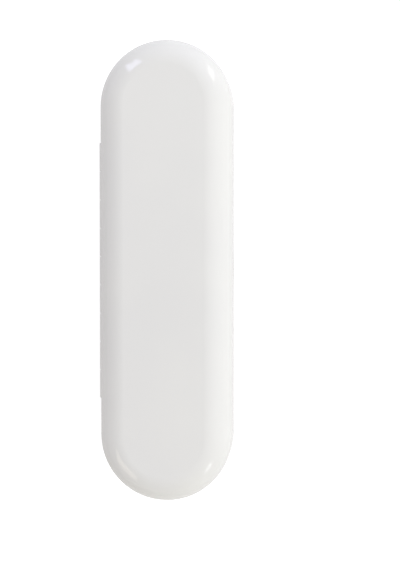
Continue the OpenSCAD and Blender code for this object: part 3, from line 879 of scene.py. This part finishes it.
def without_repeats(outline):
    """A closed outline without the points that lie on the one before."""
    step = np.linalg.norm(outline - np.roll(outline, 1, axis=0), axis=1)
    return outline[step > 1e-6]


def prism(outline, middle, length):
    """A form with a flat outline of x and z, along Y."""
    outline = np.asarray(outline, float)
    ends = [np.column_stack([outline[:, 0], np.full(len(outline), middle + way * length / 2),
                             outline[:, 1]]) for way in (-1, 1)]
    triangles = flat_face([outline], 0)[1]
    return [grid(np.stack(ends, axis=1), wrap=True), *[(end, triangles) for end in ends]]


def lugs(play):
    """The tabs under a tray's edge with the lugs that snap into the shell, or with play the
    pockets for them. A lug slopes at its foot, to ride over the shell's rim."""
    patches = []
    tip = INNER + LUG_BITE + play
    low, high = LUG_BOTTOM - play, LUG_BOTTOM + LUG_HEIGHT + play
    inset, sunk, corner = 0.05, 0.4, 0.1
    start, edge = TRAY_EDGE - TRAY_WALL, TRAY_EDGE - inset
    slope = 0.3 if play else 0.5
    foot = [(start, low), (tip - slope, low), (tip, low + slope)]
    if play:
        outline = np.array([*foot, (tip, high), (start, high)])
    else:
        root = TRAY_TOP - TRAY_WALL + sunk
        outline = np.array([*foot, (tip, high - corner), (tip - corner, high), (edge, high),
                            (edge, root), (start, root)])
    for side, places in ((1, FRONT_LUGS), (-1, REAR_LUGS)):
        for y in places:
            patches += prism(outline * (side, 1), y, LUG_LENGTH + 2 * play)
    return patches


def base_liner():
    """The tray in the base, with holes for the pegs and vent holes under the brush heads."""
    mesh = combined(closed_mesh("base_liner", tray_patches()), lugs(0), "UNION")
    below, reach = 5, 3
    cuts = vents((HEAD_X,), below, SEAM_Z, 0)
    cuts += [bore(SPIGOT + PEG_PLAY, side * HEAD_START - reach, side * HEAD_START + reach,
                  (HEAD_X, 0, PEG_Z), 1) for side in (-1, 1)]
    mesh = combined(mesh, cuts, "DIFFERENCE")
    return piece("base_tray", mesh, TRAY_PLASTIC, "base", ["base_liner"])


def lid_liner():
    """The tray in the lid, which is the base's without its holes, turned over."""
    tray = closed_mesh("lid_liner", turned_over(tray_patches()))
    mesh = combined(tray, turned_over(lugs(0)), "UNION")
    return piece("lid_tray", mesh, TRAY_PLASTIC, "lid", ["lid_liner"])


# ---- Soft bands and pegs ----

def band_section(inset):
    """The band's section across its thickness and its width, as a closed outline with small round
    corners. Each is given as the share of the thickness and the place along Y."""
    half, corner = GRIP_THICKNESS / 2, 0.35
    far = (GRIP_HIGH[1] - GRIP_LOW[1]) / 2
    radius = max(corner - inset, 0.0)
    out, along = half - max(inset, corner), far - max(inset, corner)
    corners = [(out, along, radius, 0, 90, 5), (-out, along, radius, 90, 180, 5),
               (-out, -along, radius, 180, 270, 5), (out, -along, radius, 270, 360, 5)]
    return bent(corners, 0)


def soft_band(name, middle, over, body):
    """A soft half band that the handle lies on. Its section goes round the handle's axis from one
    end, on the underside of the tray's face, to the other. Seven ribs stand on its inner side, each
    as high as a cosine's square. The section shrinks along a quarter circle at both ends."""
    centre = GRIP_OUTER - GRIP_THICKNESS / 2
    drop = SEAM_Z - TRAY_TOP + TRAY_WALL
    bend = np.linspace(0, np.pi / 2, 6)
    ends = [(1.0, GRIP_THICKNESS / 2)]
    half_arc = 20
    ends += [(1 - GRIP_END_ROUND * (1 - math.cos(t)) / half_arc, GRIP_END_ROUND * (1 - math.sin(t)))
             for t in bend]
    shares = [(-share, inset) for share, inset in ends]
    shares += [(share, 0.0)
               for share in np.linspace(-ends[-1][0], ends[-1][0], GRIP_STEPS + 1)[1:-1]]
    shares += [(share, inset) for share, inset in reversed(ends)]
    rings = []
    for share, inset in shares:
        out, along = band_section(inset).T
        reach = centre + out
        angle = share * np.arccos(drop / reach)
        rib = np.zeros(len(out))
        for place in np.radians(RIB_ANGLES):
            apart = np.minimum(abs(angle - place) * centre / RIB_HALF_WIDTH, 1)
            rib += RIB * np.cos(apart * np.pi / 2) ** 2
        reach = reach - rib * np.clip(-out / (GRIP_THICKNESS / 2), 0, 1)
        rings.append(np.column_stack([HANDLE_X + reach * np.sin(angle), middle + along,
                                      SEAM_Z - reach * np.cos(angle)]))
    patches = [grid(np.stack(rings, axis=1), wrap=True)]
    if over:
        patches = turned_over(patches)
    mesh = closed_mesh(name, patches, crisp=50)
    return piece(name + "_moulding", mesh, RUBBER, body, [name])


def head_peg(name, side):
    """A peg for a brush head: a spigot in the tray's wall, a flange, and a round-nosed peg with a
    fillet at its foot."""
    foot = HEAD_START + PEG_PLAY
    nose, fillet, edge = PEG / 2, 0.5, 0.2
    collar = foot + PEG_FLANGE_THICKNESS
    profile = np.vstack([
        [(0, PEG_LOW[1]), (SPIGOT - edge, PEG_LOW[1]), (SPIGOT, PEG_LOW[1] + edge), (SPIGOT, foot)],
        [(PEG_FLANGE - edge, foot), (PEG_FLANGE, foot + edge)],
        arc((PEG_FLANGE - edge, collar - edge), edge, 0, 90, 4),
        arc((PEG + fillet, collar + fillet), fillet, 270, 180, 6),
        arc((PEG - nose, PEG_END - nose), nose, 0, 90, 12),
        [(0, PEG_END)],
    ]) * (1, side)
    mesh = closed_mesh(name, [turned(profile, (HEAD_X, 0, PEG_Z), 1)])
    return piece(name + "_turned", mesh, LATCH_PLASTIC, "base", [name])


# ---- Latch ----

def latch_button():
    """The push button, built of oblong outlines from the back of its stem over its flange to the
    middle of its face. The face is dished by a sphere, and its edge is a quarter circle: at a
    distance d from the edge it lies back by e - sqrt(e^2 - (e - d)^2)."""
    half_length, half_width = BUTTON_LENGTH / 2, BUTTON_WIDTH / 2
    face, edge, soft, root = BUTTON_HIGH[0], 0.45, 0.15, 0.3
    back = BUTTON_LOW[0]
    rim = (half_length + BUTTON_FLANGE, half_width + BUTTON_FLANGE)
    levels = [(STEM, STEM, STEM, back), (STEM, STEM, soft, back), (STEM, STEM, 0, back + soft),
              (STEM, STEM, 0, FLANGE_X - FLANGE - root), (STEM, STEM, -root, FLANGE_X - FLANGE),
              (*rim, soft, FLANGE_X - FLANGE), (*rim, 0, FLANGE_X - FLANGE + soft),
              (*rim, 0, FLANGE_X - soft), (*rim, soft, FLANGE_X)]
    rings = []
    for length, width, inset, x in levels:
        ring = oblong(length, width, inset)
        rings.append(np.column_stack([np.full(len(ring), x), ring]))
    inner = edge + (half_width - edge) * np.linspace(0, 1, 12)[1:]
    for inset in [0, 0, *(edge * (1 - np.cos(np.linspace(0, np.pi / 2, 7)[1:]))), *inner]:
        ring = oblong(half_length, half_width, inset)
        dish = face - DISH_DEPTH + DISH - np.sqrt(DISH ** 2 - (ring ** 2).sum(axis=1))
        top = np.minimum(face, dish)
        drop = edge - math.sqrt(edge ** 2 - max(edge - inset, 0) ** 2)
        x = np.full(len(ring), FLANGE_X) if len(rings) == len(levels) else top - drop
        rings.append(np.column_stack([x, ring]))
    points = np.stack(rings, axis=1) + (0, 0, BUTTON_Z)
    mesh = closed_mesh("latch_button", [grid(points, wrap=True)])
    return piece("push_button", mesh, SHELL_PLASTIC, "latch", ["latch_button"])


def latch_spring():
    """A coil spring: a round wire along a helix whose rise is slower at both ends, where it
    follows share - 0.6 sin(2 pi share) / (2 pi), so that the end coils lie close. The wire's
    ends are cut square."""
    share = np.linspace(0, 1, TURNS * TURN_STEPS + 1)
    slowing = 0.6
    length = SPRING_HIGH[0] - SPRING_LOW[0] - 2 * WIRE
    angle = 2 * np.pi * TURNS * share
    rise = share - slowing * np.sin(2 * np.pi * share) / (2 * np.pi)
    line = np.column_stack([SPRING_LOW[0] + WIRE + length * rise, COIL * np.cos(angle),
                            BUTTON_Z + COIL * np.sin(angle)])
    ahead = np.gradient(line, axis=0)
    ahead /= np.linalg.norm(ahead, axis=1, keepdims=True)
    outward = np.column_stack([0 * angle, np.cos(angle), np.sin(angle)])
    side = np.cross(ahead, outward)
    side /= np.linalg.norm(side, axis=1, keepdims=True)
    outward = np.cross(side, ahead)
    round_angle = np.linspace(0, 2 * np.pi, WIRE_SIDES, endpoint=False)[:, None, None]
    tube = line + WIRE * (np.cos(round_angle) * outward + np.sin(round_angle) * side)
    ends = [np.repeat(line[None, [at]], WIRE_SIDES, axis=0) for at in (0, -1)]
    coil = np.concatenate([ends[0], tube, ends[1]], axis=1)
    mesh = closed_mesh("latch_spring", [grid(coil, wrap=True)])
    made = piece("coiled_spring", mesh, SPRING_STEEL, "base", ["latch_spring"])
    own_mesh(made)
    return made


def finish_cad(name, finish):
    """A material for a CAD node that is shown as it is."""
    node = frame["nodes"][name]
    node.data.materials.clear()
    node.data.materials.append(finish)


base_shell()
lid_shell()
hinge_pin()
base_liner()
lid_liner()
soft_band("handle_grip_front", GRIP_Y, False, "base")
soft_band("handle_grip_rear", -GRIP_Y, False, "base")
soft_band("lid_pad_front", GRIP_Y, True, "lid")
soft_band("lid_pad_rear", -GRIP_Y, True, "lid")
head_peg("head_peg_front", 1)
head_peg("head_peg_rear", -1)
latch_button()
latch_spring()
finish_cad("latch_housing", LATCH_PLASTIC)
finish_cad("latch_slide", LATCH_PLASTIC)
finish_cad("keeper", LATCH_PLASTIC)
finish_cad("housing_screws", SCREW_STEEL)
finish_cad("keeper_screws", SCREW_STEEL)


# ---- Stage ----

def softbox(name, mirrored, tilt, azimuth, width, height, brightness, tone, turn=0):
    """A rectangular lamp that faces the case, on a sphere round it. Its power is what gives its
    face that brightness: pi x width x height x brightness. Where it isn't mirrored, the case mirrors
    an even white room instead."""
    light = bpy.data.lights.new(name, "AREA")
    light.shape = "RECTANGLE"
    light.size, light.size_y = width, height
    light.energy = math.pi * width * height * brightness
    light.color = colour(tone)[:3]
    made = bpy.data.objects.new(name, light)
    a, t = math.radians(azimuth), math.radians(tilt)
    away = Vector((math.sin(t) * math.cos(a), math.sin(t) * math.sin(a), math.cos(t)))
    made.location = Vector((0, 0, SEAM_Z * MM)) + LAMP_DISTANCE * away
    made.rotation_mode = "QUATERNION"
    made.rotation_quaternion = ((-away).to_track_quat("-Z", "Y")
                                @ Quaternion((0, 0, 1), math.radians(turn)))
    made.visible_glossy = mirrored
    bpy.context.scene.collection.objects.link(made)


def seen_by(tree, *kinds):
    """1 for light paths of these kinds, such as Is Camera Ray, and otherwise 0."""
    path = add(tree, "ShaderNodeLightPath")
    value = path.outputs[kinds[0]]
    for kind in kinds[1:]:
        value = add(tree, "ShaderNodeMath", {"operation": "MAXIMUM"},
                    {0: value, 1: path.outputs[kind]}).outputs["Value"]
    return value


def glow(tree, surface, where, strength):
    """A surface shader with a white glow added where a value is 1. The strength is a value too."""
    power = add(tree, "ShaderNodeMath", {"operation": "MULTIPLY"}, {0: where, 1: strength})
    light = add(tree, "ShaderNodeEmission", links={"Strength": power.outputs["Value"]})
    both = add(tree, "ShaderNodeAddShader", links={0: surface, 1: light.outputs["Emission"]})
    return both.outputs["Shader"]


def floor():
    """A plain pale floor under the case, lifted to white for the camera, which keeps the shadow. Mirror
    and glass rays see it lifted less, so that the case's rim stays darker than the floor. What they see
    of it is graded along X as painted light: a painted reflection, least on the side at -X and most at
    +X, where the lamps stand."""
    half = 3.0
    mesh = bpy.data.meshes.new("floor")
    mesh.from_pydata([(-half, -half, 0), (half, -half, 0), (half, half, 0), (-half, half, 0)], [],
                     [(0, 1, 2, 3)])
    made = bpy.data.objects.new("floor", mesh)
    made.location.z = -FLOOR_DROP * MM
    bpy.context.scene.collection.objects.link(made)
    paint = bpy.data.materials.new("floor_paint")
    paint.use_nodes = True
    tree = paint.node_tree
    tree.nodes.clear()
    surface = add(tree, "ShaderNodeBsdfDiffuse", {"Color": colour("DADADA")}).outputs["BSDF"]
    lifted = add(tree, "ShaderNodeValue")
    lifted.outputs["Value"].default_value = FLOOR_GLOW
    surface = glow(tree, surface, seen_by(tree, "Is Camera Ray"), lifted.outputs["Value"])
    place = add(tree, "ShaderNodeTexCoord").outputs["Object"]
    # Painted reflection: the glow that mirrors see grows from -X to +X, painted light for the lamps'
    # side.
    across = add(tree, "ShaderNodeSeparateXYZ", links={"Vector": place}).outputs["X"]
    side = add(tree, "ShaderNodeMapRange",
               {"From Min": -GLOW_REACH, "From Max": GLOW_REACH,
                "To Min": MIRRORED_GLOW[0], "To Max": MIRRORED_GLOW[1]}, {"Value": across})
    surface = glow(tree, surface, seen_by(tree, "Is Glossy Ray", "Is Transmission Ray"),
                   side.outputs["Result"])
    add(tree, "ShaderNodeOutputMaterial", links={"Surface": surface})
    mesh.materials.append(paint)


def world(strength):
    """An even surrounding light, seen as plain white by the camera and in mirrors and glass."""
    made = bpy.data.worlds.new("studio")
    bpy.context.scene.world = made
    made.use_nodes = True
    tree = made.node_tree
    tree.nodes.clear()
    even = add(tree, "ShaderNodeBackground", {"Color": colour("FFFDFB"), "Strength": strength})
    white = add(tree, "ShaderNodeBackground", {"Color": colour("FFFFFF"), "Strength": 1.0})
    seen = seen_by(tree, "Is Camera Ray", "Is Glossy Ray", "Is Transmission Ray")
    mix = add(tree, "ShaderNodeMixShader",
              links={0: seen, 1: even.outputs["Background"], 2: white.outputs["Background"]})
    add(tree, "ShaderNodeOutputWorld", links={"Surface": mix.outputs["Shader"]})


def upright(look):
    """The turn that looks along a direction with +Y up in the picture."""
    back = -look.normalized()
    right = Vector((0, 1, 0)).cross(back).normalized()
    return Matrix((right, back.cross(right), back)).transposed().to_quaternion()


def camera():
    """A camera at the photograph's angle. The long side of the picture is its sensor's width."""
    view = bpy.data.cameras.new("camera")
    view.sensor_width = SENSOR
    view.lens = FOCAL_PIXELS * SENSOR / IMAGE_HEIGHT
    view.clip_start, view.clip_end = 0.01, 50
    made = bpy.data.objects.new("camera", view)
    made.location = Vector(CAMERA_AT) * MM
    made.rotation_mode = "QUATERNION"
    made.rotation_quaternion = upright(Vector(CAMERA_AIM) - Vector(CAMERA_AT))
    bpy.context.scene.collection.objects.link(made)
    bpy.context.scene.camera = made


camera()
floor()
world(SURROUNDINGS)
for lamps, mirrored in ((SOFTBOXES, False), (SPOTS, True)):
    for name, settings in lamps.items():
        softbox(name, mirrored, *settings)
bpy.context.scene.view_settings.view_transform = "Standard"
